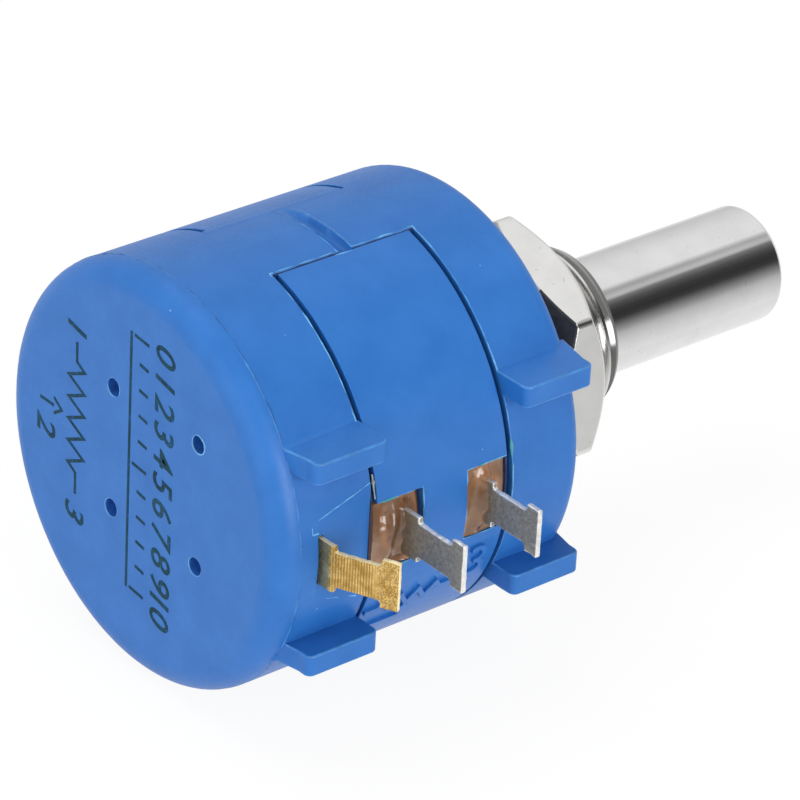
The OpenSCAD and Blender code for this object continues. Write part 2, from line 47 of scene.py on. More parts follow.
# The shaft lies along X, the terminals point along -Y and Z is up. Sizes are in millimetres unless noted.
# A place on the round housing is given as x, radius and the angle from the terminals' side, downwards.
photoView = {
    "target": (-3.92, -1.56, 0.33),   # point on the line of sight
    "distance": 247.4,
    "azimuth": -131.0,                # degrees, where the camera stands
    "elevation": 29.41,
    "roll": 3.14,
    "lens": 221.4, "sensor": 36,
}

studio = {
    "floorZ": -11.1,                  # the round side of the housing lies on it
    "floorSize": 3000,
    "floorColor": (0.86, 0.86, 0.86),
    "floorGlow": 0.9,                 # share of white that the camera sees in place of paper
    "worldStrength": 0.50,
    "keyPower": 2.3, "keySize": 500, "keyPlace": (-100, 220, 660),
    "sidePower": 2.3, "sideSize": 320, "sidePlace": (15, -590, 90),
    "leftPower": 1.6, "leftSize": 420, "leftPlace": (-590, -60, 150),
    # what metal sees: a dark card beyond the shaft, as degrees of elevation and brightness
    "cardAzimuth": -49, "cardHalfSpan": 34,
    "card": [(-42, 0.92), (-29, 0.81), (-17, 0.66), (-10, 0.55), (-4, 0.38), (2, 0.24), (8, 0.12), (13, 0.05),
             (20, 0.036), (27, 0.050), (34, 0.10), (39.5, 0.22), (42.5, 0.62), (44.5, 0.60), (47.5, 0.45), (50, 0.50),
             (53, 0.88), (60, 0.94)],
    "room": [(-40, 0.95), (-8, 0.78), (0, 0.66), (12, 0.72), (24, 0.80), (40, 0.90), (60, 0.97)],
}

housing = {
    "radius": 11.1,
    "rearFace": -19.2,
    "panelFront": -4.95, "panelRear": -13.1, "panelGap": 0.3, "panelAngle": 76,
    "seamFront": -8.45, "seamRear": -9.31, "seamFloor": 10.72,
    "rimLine": -17.85,
    "edgeRound": 0.085, "sleeveRound": 0.035, "shaftRound": 0.07,
}


# camera, floor and lights

def polar(azimuth, elevation):
    a, e = math.radians(azimuth), math.radians(elevation)
    return Vector((math.cos(e) * math.cos(a), math.cos(e) * math.sin(a), math.sin(e)))


def placeCamera():
    away = polar(photoView["azimuth"], photoView["elevation"])
    target = Vector(photoView["target"]) * mm
    camera = bpy.data.objects.new("camera", bpy.data.cameras.new("camera"))
    bpy.context.scene.collection.objects.link(camera)
    turn = (-away).to_track_quat("-Z", "Y").to_matrix().to_4x4()
    camera.matrix_world = (Matrix.Translation(target + away * photoView["distance"] * mm) @ turn
                           @ Matrix.Rotation(math.radians(photoView["roll"]), 4, "Z"))
    camera.data.lens = photoView["lens"]
    camera.data.sensor_width = photoView["sensor"]
    camera.data.clip_start = 0.01
    bpy.context.scene.camera = camera


def areaLight(name, place, size, power):
    lamp = bpy.data.objects.new(name, bpy.data.lights.new(name, "AREA"))
    bpy.context.scene.collection.objects.link(lamp)
    lamp.data.energy = power
    lamp.data.size = size * mm
    lamp.location = Vector(place) * mm
    lamp.rotation_euler = (-Vector(place)).to_track_quat("-Z", "Y").to_euler()
    return lamp


# places across the terminals in mm, from where a mark starts to where it is full
terminalZones = {
    "tinRoot": (-12.3, -11.2), "goldRoot": (-11.85, -11.2), "goldEnd": (-13.9, -14.3),
    "neckStart": (-11.7, -12.1), "neckEnd": (-14.1, -13.8),
}


class NodeTree:
    def __init__(self, name):
        self.material = bpy.data.materials.new(name)
        self.material.use_nodes = True
        self.tree = self.material.node_tree
        self.tree.nodes.clear()
        self.place = None

    # inputs are named by their socket, with _ for a space, or by number as i0, i1 and so on
    def add(self, kind, settings=None, **inputs):
        node = self.tree.nodes.new("ShaderNode" + kind)
        for key, value in (settings or {}).items():
            setattr(node, key, value)
        for key, value in inputs.items():
            numbered = key[0] == "i" and key[1:].isdigit()
            self.put(node.inputs[int(key[1:]) if numbered else key.replace("_", " ")], value)
        return node

    def put(self, socket, value):
        if isinstance(value, bpy.types.NodeSocket):
            self.tree.links.new(value, socket)
        elif isinstance(value, bpy.types.Node):
            self.tree.links.new(value.outputs[0], socket)
        elif hasattr(socket.default_value, "__len__") and len(socket.default_value) == 4:
            socket.default_value = tuple(value)[:3] + (1.0,)
        else:
            socket.default_value = value

    def coords(self):
        if self.place is None:
            self.place = self.add("TexCoord").outputs["Object"]
        return self.place

    def scaled(self, scale, turn=(0, 0, 0)):
        return self.add("Mapping", i0=self.coords(), i2=turn, i3=scale).outputs[0]

    def noise(self, scale, detail=3.0, vector=None, roughness=0.5):
        return self.add("TexNoise", Vector=vector or self.coords(), Scale=scale, Detail=detail,
                        Roughness=roughness).outputs[0]

    # a number from a texture, stretched between two limits
    def spread(self, value, low, high, out=(0.0, 1.0)):
        return self.add("MapRange", i0=value, i1=low, i2=high, i3=out[0], i4=out[1]).outputs[0]

    def maths(self, operation, first, second=0.0):
        return self.add("Math", {"operation": operation}, i0=first, i1=second).outputs[0]

    def blend(self, share, first, second):
        return self.add("Mix", {"data_type": "RGBA"}, i0=share, i6=first, i7=second).outputs[2]

    # lays a second tone over the first where the mark shows, at most by this share
    def overlay(self, tone, mark, share, second):
        return self.blend(self.maths("MULTIPLY", mark, share), tone, second)

    def zone(self, name):
        side = self.add("SeparateXYZ", Vector=self.coords()).outputs[1]
        start, full = terminalZones[name]
        return self.spread(side, start * mm, full * mm)

    def bump(self, height, strength, depth, under=None):
        node = self.add("Bump", Height=height, Strength=strength, Distance=depth * mm)
        if under is not None:
            self.put(node.inputs["Normal"], under)
        return node.outputs[0]

    def finish(self, tone, normal, roughness, **others):
        shader = self.add("BsdfPrincipled", Base_Color=tone, Normal=normal, Roughness=roughness, **others)
        return self.output(shader)

    def output(self, shader):
        self.add("OutputMaterial", Surface=shader)
        return self.material


def stageSheet(name, corners, material):
    mesh = bpy.data.meshes.new(name)
    form = bmesh.new()
    form.faces.new([form.verts.new(Vector(c) * mm) for c in corners])
    form.to_mesh(mesh)
    form.free()
    sheet = bpy.data.objects.new(name, mesh)
    bpy.context.scene.collection.objects.link(sheet)
    mesh.materials.append(material)
    return sheet


def makeFloor():
    nodes = NodeTree("floorPaper")
    path = nodes.add("LightPath")
    paper = nodes.add("BsdfDiffuse", Color=studio["floorColor"])
    white = nodes.add("Emission", Color=(1, 1, 1), Strength=1.02)
    seen = nodes.maths("MULTIPLY", path.outputs["Is Camera Ray"], studio["floorGlow"])
    mix = nodes.add("MixShader", i0=seen, i1=paper, i2=white)
    half, z = studio["floorSize"] / 2, studio["floorZ"]
    floor = stageSheet("floor", [(-half, -half, z), (half, -half, z), (half, half, z), (-half, half, z)],
                       nodes.output(mix))
    floor.visible_glossy = False


# metal sees a bright room with a dark card in it, and everything else an even light
def lightStudio():
    world = bpy.data.worlds.new("studio")
    bpy.context.scene.world = world
    world.use_nodes = True
    tree = world.node_tree
    tree.nodes.clear()

    def add(kind, *values, **settings):
        node = tree.nodes.new("ShaderNode" + kind)
        for key, value in settings.items():
            setattr(node, key, value)
        for socket, value in zip(node.inputs, values):
            if isinstance(value, bpy.types.NodeSocket):
                tree.links.new(value, socket)
            elif value is not None:
                socket.default_value = value
        return node

    direction = add("TexCoord").outputs["Generated"]
    elevation = add("Math", add("SeparateXYZ", direction).outputs[2], operation="ARCSINE").outputs[0]
    upwards = add("MapRange", elevation, -math.pi / 2, math.pi / 2).outputs[0]

    def brightness(levels):      # from degrees of elevation
        ramp = add("ValToRGB", upwards)
        elements = ramp.color_ramp.elements
        for degrees, level in levels:
            elements.new((degrees + 90) / 180).color = (level, level, level, 1)
        elements.remove(elements[0])
        elements.remove(elements[-1])
        return ramp.outputs[0]

    flat = add("VectorMath", add("VectorMath", direction, (1, 1, 0), operation="MULTIPLY").outputs[0],
               operation="NORMALIZE").outputs[0]
    facing = add("VectorMath", flat, tuple(polar(studio["cardAzimuth"], 0)), operation="DOT_PRODUCT").outputs["Value"]
    edge = math.cos(math.radians(studio["cardHalfSpan"]))
    onCard = add("MapRange", facing, edge - 0.05, edge + 0.06).outputs[0]
    room = add("Mix", onCard, data_type="RGBA")
    tree.links.new(brightness(studio["room"]), room.inputs[6])
    tree.links.new(brightness(studio["card"]), room.inputs[7])
    path = add("LightPath")
    even = add("Background", (1, 1, 1, 1), studio["worldStrength"]).outputs[0]
    white = add("Background", (1, 1, 1, 1), 1.0).outputs[0]
    mirrored = add("Background", room.outputs[2], 1.0).outputs[0]
    shader = add("MixShader", path.outputs["Is Glossy Ray"], even, mirrored).outputs[0]
    shader = add("MixShader", path.outputs["Is Camera Ray"], shader, white).outputs[0]
    add("OutputWorld", shader)
    for name in ("key", "side", "left"):
        lamp = areaLight(name, studio[name + "Place"], studio[name + "Size"], studio[name + "Power"])
        lamp.visible_glossy = name == "side"
    bpy.context.scene.view_settings.view_transform = "Standard"


placeCamera()
makeFloor()
lightStudio()
print("camera, floor and lights set")


# finishes

plasticLook = {
    "cover": (0.017, 0.132, 0.440),
    "coverPale": (0.027, 0.160, 0.500),
    "sleeve": (0.017, 0.136, 0.452),
    "sleevePale": (0.026, 0.158, 0.500),
    # edge: a paler tone for rounded edges, partly rubbed wear and partly a painted highlight
    "edge": (0.052, 0.235, 0.600),
    "speck": (0.55, 0.72, 0.92),
    "cloudScale": 420, "grainScale": 7000, "waveScale": 900,
    "speckCells": 800, "speckShare": 0.70, "speckSize": 0.040, "speckStrength": 0.6,
}


def cloudyPlastic(name, dark, pale, backDark=None, backPale=None, roughness=0.42):
    look = plasticLook
    nodes = NodeTree(name)
    cloud = nodes.spread(nodes.noise(look["cloudScale"], 4.0, roughness=0.6), 0.3, 0.7)
    tone = nodes.blend(cloud, dark, pale)
    if backDark:      # the side away from the terminals has its own tones
        side = nodes.add("SeparateXYZ", Vector=nodes.coords()).outputs[1]
        tone = nodes.blend(nodes.spread(side, 0.0, 1e-4), tone, nodes.blend(cloud, backDark, backPale))
    cells = nodes.add("TexVoronoi", Vector=nodes.coords(), Scale=look["speckCells"])
    draw = nodes.add("SeparateColor", i0=cells.outputs[1]).outputs[0]
    chosen = nodes.maths("GREATER_THAN", draw, look["speckShare"])
    dots = nodes.maths("MULTIPLY", nodes.spread(cells.outputs[0], look["speckSize"], look["speckSize"] / 2), chosen)
    tone = nodes.overlay(tone, dots, look["speckStrength"], look["speck"])
    grain = nodes.noise(look["grainScale"], 2.0)
    waves = nodes.noise(look["waveScale"], 2.0)
    return nodes.finish(tone, nodes.bump(waves, 0.12, 0.05, nodes.bump(grain, 0.12, 0.02)),
                        nodes.spread(grain, 0.3, 0.7, (roughness - 0.05, roughness + 0.06)), Specular_IOR_Level=0.36)


def paleFlash(name, color, roughness=0.35):
    nodes = NodeTree(name)
    cloud = nodes.spread(nodes.noise(2600, 2.0), 0.35, 0.65)
    tone = nodes.blend(cloud, tuple(c * 0.72 for c in color), color)
    return nodes.finish(tone, nodes.bump(nodes.noise(6000, 2.0), 0.2, 0.02), roughness)


def printInk():
    nodes = NodeTree("printInk")
    worn = nodes.spread(nodes.noise(5200, 3.0), 0.56, 0.70)
    patch = nodes.spread(nodes.noise(900, 2.0), 0.35, 0.7)
    tone = nodes.blend(patch, (0.006, 0.034, 0.050), (0.012, 0.060, 0.090))
    tone = nodes.overlay(tone, worn, 0.6, plasticLook["cover"])
    return nodes.finish(tone, nodes.bump(nodes.noise(9000, 2.0), 0.2, 0.01), 0.55, Specular_IOR_Level=0.12)


def sealingResin():
    nodes = NodeTree("amberResin")
    cloud = nodes.spread(nodes.noise(330, 3.0, roughness=0.55), 0.36, 0.66)
    amber = nodes.spread(nodes.noise(1.0, 2.0, nodes.scaled((900, 300, 300))), 0.46, 0.62)
    pits = nodes.spread(nodes.noise(1900, 2.0), 0.66, 0.74)
    tone = nodes.blend(cloud, (0.150, 0.072, 0.034), (0.335, 0.180, 0.092))
    tone = nodes.overlay(tone, amber, 0.5, (0.55, 0.19, 0.035))
    tone = nodes.overlay(tone, pits, 0.6, (0.028, 0.014, 0.008))
    streaks = nodes.noise(1.0, 2.0, nodes.scaled((1700, 300, 260)))
    normal = nodes.bump(streaks, 0.6, 0.30, nodes.bump(nodes.noise(2100, 2.0), 0.35, 0.06))
    return nodes.finish(tone, normal, nodes.spread(cloud, 0.0, 1.0, (0.14, 0.26)), Coat_Weight=0.6, Coat_Roughness=0.10)


def tinPlate(name, dark, pale, roughness, metallic):
    nodes = NodeTree(name)
    cloud = nodes.spread(nodes.noise(5200, 4.0, roughness=0.75), 0.34, 0.66)
    tone = nodes.blend(cloud, dark, pale)
    stain = nodes.maths("MULTIPLY", nodes.zone("tinRoot"), nodes.spread(nodes.noise(900, 3.0), 0.42, 0.62))
    tone = nodes.overlay(tone, stain, 0.7, (0.22, 0.15, 0.07))
    scratch = nodes.noise(1.0, 2.0, nodes.scaled((900, 300, 5200)))
    normal = nodes.bump(scratch, 0.22, 0.02, nodes.bump(nodes.noise(3800, 3.0), 0.5, 0.05))
    return nodes.finish(tone, normal, nodes.spread(cloud, 0.0, 1.0, (roughness + 0.1, roughness)), Metallic=metallic)


def goldPlate(name="goldPlate", terminal=True, dark=(0.52, 0.31, 0.07), pale=(0.95, 0.66, 0.24), metallic=0.8):
    nodes = NodeTree(name)
    cloud = nodes.spread(nodes.noise(1700, 4.0, roughness=0.65), 0.36, 0.66)
    tone = nodes.blend(cloud, dark, pale)
    grains = nodes.noise(3600, 3.0)
    normal = nodes.bump(grains, 0.6, 0.08)
    if terminal:      # a root with a painted shade and a spotted end
        tone = nodes.overlay(tone, nodes.zone("goldRoot"), 0.7, (0.30, 0.27, 0.17))
        spots = nodes.maths("MULTIPLY", nodes.spread(nodes.noise(10500, 2.0), 0.47, 0.58), nodes.zone("goldEnd"))
        tone = nodes.overlay(tone, spots, 0.7, (0.38, 0.21, 0.05))
        normal = nodes.bump(spots, 0.8, 0.04, normal)
        # rolling marks across the neck
        bands = nodes.add("TexWave", {"bands_direction": "Y"}, Vector=nodes.coords(), Scale=2350.0, Distortion=0.9,
                          Detail=2.0, Detail_Scale=0.6).outputs[1]
        rolled = nodes.maths("MULTIPLY", bands, nodes.maths("MULTIPLY", nodes.zone("neckEnd"), nodes.zone("neckStart")))
        tone = nodes.overlay(tone, rolled, 0.78, (0.26, 0.14, 0.03))
        normal = nodes.bump(rolled, 0.5, 0.03, normal)
    return nodes.finish(tone, normal, nodes.spread(grains, 0.3, 0.7, (0.17, 0.34)), Metallic=metallic)


def platedMetal(name, dark, pale, roughness, stretch, bumpStrength, rootRadius=None):
    nodes = NodeTree(name)
    cloud = nodes.spread(nodes.noise(600, 4.0), 0.3, 0.7)
    marks = nodes.noise(1.0, 3.0, nodes.scaled(stretch))
    tone = nodes.blend(cloud, dark, pale)
    if rootRadius:      # thread roots get a painted shade
        flat = nodes.add("VectorMath", {"operation": "MULTIPLY"}, i0=nodes.coords(), i1=(0, 1, 1))
        far = nodes.add("VectorMath", {"operation": "LENGTH"}, i0=flat).outputs["Value"]
        rootShade = nodes.spread(far, (rootRadius + 0.22) * mm, rootRadius * mm)
        tone = nodes.overlay(tone, rootShade, 0.85, (0.06, 0.06, 0.06))
    pits = nodes.spread(nodes.noise(4200, 2.0), 0.68, 0.74)
    tone = nodes.overlay(tone, pits, 0.35, tuple(c * 0.6 for c in dark))
    return nodes.finish(tone, nodes.bump(marks, bumpStrength, 0.01),
                        nodes.spread(marks, 0.3, 0.7, (roughness, roughness + 0.07)), Metallic=1.0)


def windingWire():
    nodes = NodeTree("windingWire")
    place = nodes.add("SeparateXYZ", Vector=nodes.coords())
    turn = nodes.maths("ARCTAN2", place.outputs[2], place.outputs[1])
    wires = nodes.spread(nodes.maths("SINE", nodes.maths("MULTIPLY", turn, 620.0)), -1.0, 1.0)
    cloud = nodes.spread(nodes.noise(500, 3.0), 0.35, 0.65)
    tone = nodes.blend(cloud, (0.40, 0.27, 0.17), (0.56, 0.40, 0.26))
    tone = nodes.blend(nodes.maths("SUBTRACT", 1.0, wires), tone, (0.10, 0.05, 0.03))
    return nodes.finish(tone, nodes.bump(wires, 0.6, 0.03), 0.34, Metallic=1.0)


def naturalPlastic():
    nodes = NodeTree("naturalPlastic")
    cloud = nodes.spread(nodes.noise(450, 4.0), 0.3, 0.7)
    tone = nodes.blend(cloud, (0.60, 0.56, 0.48), (0.74, 0.70, 0.62))
    grain = nodes.noise(6000, 2.0)
    return nodes.finish(tone, nodes.bump(grain, 0.15, 0.02), nodes.spread(grain, 0.3, 0.7, (0.42, 0.55)))


coverBlue = cloudyPlastic("coverPlastic", plasticLook["cover"], plasticLook["coverPale"])
sleeveBlue = cloudyPlastic("sleevePlastic", plasticLook["sleeve"], plasticLook["sleevePale"],
                           plasticLook["cover"], plasticLook["coverPale"], 0.4)
# rounded edges and some flash lines: partly rubbed wear, partly a painted highlight
edgeWearAndHighlight = paleFlash("rubbedEdgeAndHighlight", plasticLook["edge"], 0.38)
flashBlue = paleFlash("mouldFlash", (0.16, 0.46, 0.82))
dimpleShadeBlue = paleFlash("dimpleShade", (0.034, 0.155, 0.54), 0.25)
tealFlash = paleFlash("tealFlash", (0.05, 0.30, 0.40), 0.3)
paleResin = paleFlash("paleResin", (0.36, 0.42, 0.36), 0.25)
rimShadeBlue = paleFlash("rimShade", (0.014, 0.108, 0.375), 0.45)
gapShadeBlue = paleFlash("gapShade", (0.003, 0.022, 0.10), 0.5)
ink = printInk()
resin = sealingResin()
tin = tinPlate("tinPlate", (0.220, 0.203, 0.166), (0.425, 0.397, 0.322), 0.36, 0.5)
# painted highlight: brighter tones for the terminals' cut edges and tips
tinEdgeHighlight = tinPlate("shearedTinHighlight", (0.62, 0.62, 0.61), (0.95, 0.95, 0.94), 0.20, 0.55)
gold = goldPlate()
goldEdgeHighlight = goldPlate("goldEdgeHighlight", False, (0.95, 0.68, 0.28), (1.0, 0.90, 0.56), 0.25)
nickel = platedMetal("nickelPlate", (0.74, 0.735, 0.72), (0.82, 0.815, 0.80), 0.13, (2600, 260, 260), 0.10)
# the thread's nickel, with a painted shade in the thread roots
threadNickel = platedMetal("threadNickel", (0.70, 0.695, 0.685), (0.80, 0.795, 0.78), 0.12, (2600, 260, 260), 0.10,
                           rootRadius=4.44)
# painted light: a pale tone for the nut's upper back chamfers, which catch the light from above
litNutChamfer = paleFlash("litChamfer", (0.56, 0.56, 0.55), 0.35)
# painted shade: a near-black tone for the nut's back, in the shade of the housing
nutBackShade = paleFlash("shadedNutBack", (0.040, 0.040, 0.043), 0.5)
shaftPlate = platedMetal("polishedShaft", (0.73, 0.73, 0.73), (0.79, 0.79, 0.79), 0.035, (60, 2600, 2600), 0.05)
springPlate = platedMetal("springSteel", (0.42, 0.42, 0.42), (0.52, 0.52, 0.51), 0.26, (2200, 120, 120), 0.2)

finishes = {
    "blue_cover": coverBlue, "blue_sleeve": sleeveBlue, "bearing_plastic": naturalPlastic(), "resin": resin,
    "winding": windingWire(), "tinned": tin, "gold_plate": goldPlate("slipGold", False), "nickel_brass": nickel,
    "shaft_steel": shaftPlate, "spring_steel": springPlate,
}
slotOfNode = {part["node"]: part["material_slot"] for part in frame["record"]["subparts"]}
for name, node in frame["nodes"].items():
    node.data.materials.clear()
    node.data.materials.append(finishes[slotOfNode[name]])
print("finishes set")


# making pieces

def around(x, radius, angle):
    a = math.radians(angle)
    return Vector((x, -radius * math.cos(a), -radius * math.sin(a))) * mm


def makePiece(form, name, materials, body="housing", sharpAngle=35, recalculate=True):
    if recalculate:
        bmesh.ops.recalc_face_normals(form, faces=form.faces)
    for face in form.faces:
        face.smooth = True
    mesh = bpy.data.meshes.new(name)
    form.to_mesh(mesh)
    form.free()
    mesh.set_sharp_from_angle(angle=math.radians(sharpAngle))
    piece = bpy.data.objects.new(name, mesh)
    bpy.context.scene.collection.objects.link(piece)
    for material in materials:
        mesh.materials.append(material)
    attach(piece, body)
    return piece


def clamped(value):
    return min(max(value, 0.0), 1.0)


def cutForm(form, place, normal, clear=False):
    bmesh.ops.bisect_plane(form, geom=form.verts[:] + form.edges[:] + form.faces[:], dist=1e-8,
                           plane_co=place, plane_no=normal, clear_outer=clear)


# walls from the open edges of a sheet, which settle moves to where they end, and a bottom that closes them
def closeUnder(form, settle):
    skirt = bmesh.ops.extrude_edge_only(form, edges=[e for e in form.edges if e.is_boundary])
    for v in skirt["geom"]:
        if isinstance(v, bmesh.types.BMVert):
            settle(v)
    bmesh.ops.holes_fill(form, edges=[e for e in form.edges if e.is_boundary], sides=0)


# a merged mesh of a curve or text
def formOfCurve(curve, apart):
    carrier = bpy.data.objects.new(curve.name + "Path", curve)
    bpy.context.scene.collection.objects.link(carrier)
    mesh = bpy.data.meshes.new_from_object(carrier.evaluated_get(bpy.context.evaluated_depsgraph_get()))
    bpy.data.objects.remove(carrier)
    form = bmesh.new()
    form.from_mesh(mesh)
    bpy.data.meshes.remove(mesh)
    bmesh.ops.remove_doubles(form, verts=form.verts, dist=apart)
    return form


# a merged copy of a CAD solid
def formOfNode(nodeName):
    form = bmesh.new()
    form.from_mesh(frame["nodes"][nodeName].data)
    bmesh.ops.remove_doubles(form, verts=form.verts, dist=1e-6)
    bmesh.ops.dissolve_limit(form, angle_limit=math.radians(0.5), verts=form.verts, edges=form.edges)
    form.normal_update()
    for face in form.faces:
        face.material_index = 0
    return form


leastTurn = 32      # degrees between the faces at an edge that is rounded


# only edges that stand out are rounded, each with its share of the full width
def weighEdges(form, share):
    layer = form.edges.layers.float.new("bevel_weight_edge")
    for edge in form.edges:
        if len(edge.link_faces) == 2 and edge.is_convex and edge.calc_face_angle() > math.radians(leastTurn):
            edge[layer] = share((edge.verts[0].co + edge.verts[1].co) / 2 / mm, edge)


def roundEdges(piece, width, edgeMaterial):
    bevel = piece.modifiers.new("roundedEdges", "BEVEL")
    bevel.width = width * mm
    bevel.segments = 3
    bevel.limit_method = "WEIGHT"
    bevel.miter_outer = "MITER_ARC"
    bevel.material = edgeMaterial
    bevel.use_clamp_overlap = False
    joined = piece.modifiers.new("joinedPoints", "WELD")      # clears the slivers that a rounding leaves
    joined.merge_threshold = 0.003 * mm
    weighted = piece.modifiers.new("flatFaces", "WEIGHTED_NORMAL")
    weighted.keep_sharp = True


def evenShare(place, edge):
    return 1.0


tabs = {
    "above": 0.08, "rimShare": 0.36,     # their edges are rounder than the rims of the gaps
    # the rear tabs meet the round cover in a soft hollow, made where two faces meet at such an angle and radius
    "hollow": 0.32, "segments": 4, "least": 24, "most": 60, "radius": (11.0, 11.25), "front": -3,
}
dimples = {"places": [(y, z) for y in (2.1, -4.7) for z in (4.25, -2.55)], "reach": 0.49, "face": -19.19, "depth": 0.75}
nut = {"round": 0.25, "endShare": 0.5, "backward": -0.3, "litAbove": 5.2}


def isTabRoot(edge):
    if len(edge.link_faces) != 2 or edge.is_convex:
        return False
    low, high = tabs["radius"]
    nearTab = all(low < math.hypot(v.co.y, v.co.z) / mm < high and v.co.x < tabs["front"] * mm for v in edge.verts)
    return nearTab and tabs["least"] < math.degrees(edge.calc_face_angle()) < tabs["most"]


def hollowRoots(form):
    roots = [edge for edge in form.edges if isTabRoot(edge)]
    bmesh.ops.bevel(form, geom=roots, offset=tabs["hollow"] * mm, affect="EDGES", segments=tabs["segments"],
                    profile=0.5, material=-1, clamp_overlap=False)
    bmesh.ops.remove_doubles(form, verts=form.verts, dist=0.012 * mm)
    bmesh.ops.dissolve_degenerate(form, dist=0.002 * mm, edges=form.edges)
    form.normal_update()


# share gives an edge's part of the width, and paint gives the material number of a face
def copyOfNode(nodeName, pieceName, materials, width, body="housing", edgeMaterial=-1, paint=None, share=evenShare):
    form = formOfNode(nodeName)
    if share is tabShare:
        hollowRoots(form)
    weighEdges(form, share)
    if paint:
        for face in form.faces:
            face.material_index = paint(face.calc_center_median() / mm, face.normal)
    piece = makePiece(form, pieceName, materials, body, 24, recalculate=False)
    roundEdges(piece, width, edgeMaterial)
    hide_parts(nodeName)


# painted shade inside the dimples of the rear face
def dimplePaint(place, normal):
    near = any(math.hypot(place.y - y, place.z - z) < dimples["reach"] for y, z in dimples["places"])
    return 2 if near and dimples["face"] < place.x < dimples["face"] + dimples["depth"] else 0


def tabShare(place, edge):
    return 1.0 if math.hypot(place.y, place.z) > housing["radius"] + tabs["above"] else tabs["rimShare"]


def nutShare(place, edge):      # the six corners are rounder than the ends
    along = (edge.verts[0].co - edge.verts[1].co).normalized()
    return 1.0 if abs(along.x) > 0.95 else nut["endShare"]


def nutPaint(place, normal):    # painted shade on the back, which lies in the shade of the housing, and a painted light tone on its upper chamfers
    return 0 if normal.x > nut["backward"] else 2 if place.z > nut["litAbove"] else 1


copyOfNode("front_cover", "frontCover", [coverBlue, edgeWearAndHighlight], housing["edgeRound"], edgeMaterial=1, share=tabShare)
copyOfNode("rear_cover", "rearCover", [coverBlue, edgeWearAndHighlight, dimpleShadeBlue], housing["edgeRound"], edgeMaterial=1,
           paint=dimplePaint, share=tabShare)
copyOfNode("element_housing", "elementSleeve", [sleeveBlue], housing["sleeveRound"])
copyOfNode("hex_nut", "panelNut", [nickel, nutBackShade, litNutChamfer], nut["round"], paint=nutPaint, share=nutShare)
copyOfNode("shaft", "controlShaft", [shaftPlate], housing["shaftRound"], body="rotor")
print("housing, nut and shaft made")


# threaded bushing

bushing = {
    "radius": 4.7625, "length": 8.5, "pitch": 0.794, "threadDepth": 0.43, "crest": 0.14, "root": 0.12,
    "bore": 3.035, "flangeRadius": 6.0, "flangeFront": -1.6, "flangeRear": -2.4,
    "tipRadius": 4.24, "noseSpan": 1.0, "endRound": 0.16,
    "steps": 96,
}


def boundaryRing(form, x):
    return [e for e in form.edges if e.is_boundary and all(abs(v.co.x - x * mm) < 1e-7 for v in e.verts)]


def drawProfile(form, spots):
    verts = [form.verts.new(Vector((x, 0, r)) * mm) for x, r in spots]
    return verts + [form.edges.new(pair) for pair in zip(verts, verts[1:])]


def makeThread(form):
    b = bushing
    low, high, half = b["radius"] - b["threadDepth"], b["radius"], (b["pitch"] - b["crest"] - b["root"]) / 2
    onePitch = [(0, low), (b["root"], low), (b["root"] + half, high), (b["root"] + half + b["crest"], high),
                (b["pitch"], low)]
    profile = drawProfile(form, [(x - 1.5 * b["pitch"], r) for x, r in onePitch])
    turns = int(b["length"] / b["pitch"]) + 4
    bmesh.ops.spin(form, geom=profile, cent=(0, 0, 0), axis=(1, 0, 0), dvec=(b["pitch"] * mm / b["steps"], 0, 0),
                   angle=math.tau * turns, steps=b["steps"] * turns, use_duplicate=False)
    bmesh.ops.remove_doubles(form, verts=form.verts, dist=2e-6)
    for x, way in ((0.0, -1), (b["length"], 1)):
        cutForm(form, (x * mm, 0, 0), (way, 0, 0), clear=True)


def turnNose(form):      # the thread runs out in a turned nose with a round end
    b = bushing
    for back in (1.0, 0.4):
        cutForm(form, ((b["length"] - back * b["endRound"]) * mm, 0, 0), (1, 0, 0))
    for v in form.verts:
        radius = math.hypot(v.co.y, v.co.z)
        share = clamped((v.co.x / mm - b["length"] + b["noseSpan"]) / b["noseSpan"])
        bend = max(v.co.x / mm - b["length"] + b["endRound"], 0.0) / b["endRound"]
        limit = (b["radius"] + (b["tipRadius"] - b["radius"]) * share - b["endRound"] * 0.7 * bend ** 2) * mm
        if share > 0 and radius > limit:
            v.co.y *= limit / radius
            v.co.z *= limit / radius


def makeBushing():
    b = bushing
    form = bmesh.new()
    makeThread(form)
    turnNose(form)
    inner = [(b["length"], b["bore"]), (b["flangeRear"], b["bore"]), (b["flangeRear"], b["flangeRadius"]),
             (b["flangeFront"], b["flangeRadius"]), (b["flangeFront"], b["radius"]), (0.0, b["radius"] - 0.02)]
    bmesh.ops.spin(form, geom=drawProfile(form, inner), cent=(0, 0, 0), axis=(1, 0, 0), angle=math.tau,
                   steps=b["steps"], use_merge=True)
    for x in (0.0, b["length"]):
        bmesh.ops.bridge_loops(form, edges=boundaryRing(form, x))
    piece = makePiece(form, "threadedBushing", [threadNickel], sharpAngle=28)
    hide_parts("bushing")


makeBushing()
print("bushing made")


# solder terminals

terminals = {
    "round": 0.055, "goldRound": 1.5,    # the gold one is rounder, by this factor
    "slice": 0.13, "wobble": 0.034, "lumpSpan": 0.36, "fineSpan": 0.17,
    "lumpyFrom": -9.9,                   # nearer the shaft the sheet stays plain, inside the housing
    "nodes": {"terminal_front": ("terminalThree", tin, tinEdgeHighlight), "terminal_rear": ("terminalOne", tin, tinEdgeHighlight),
              "wiper_terminal": ("terminalTwo", gold, goldEdgeHighlight)},
}


def sliceForm(form, axis, step):
    values = [v.co[axis] for v in form.verts]
    count = int((max(values) - min(values)) / (step * mm))
    normal = Vector((0, 0, 0))
    normal[axis] = 1
    for i in range(1, count):
        cutForm(form, normal * (min(values) + i * step * mm), normal)


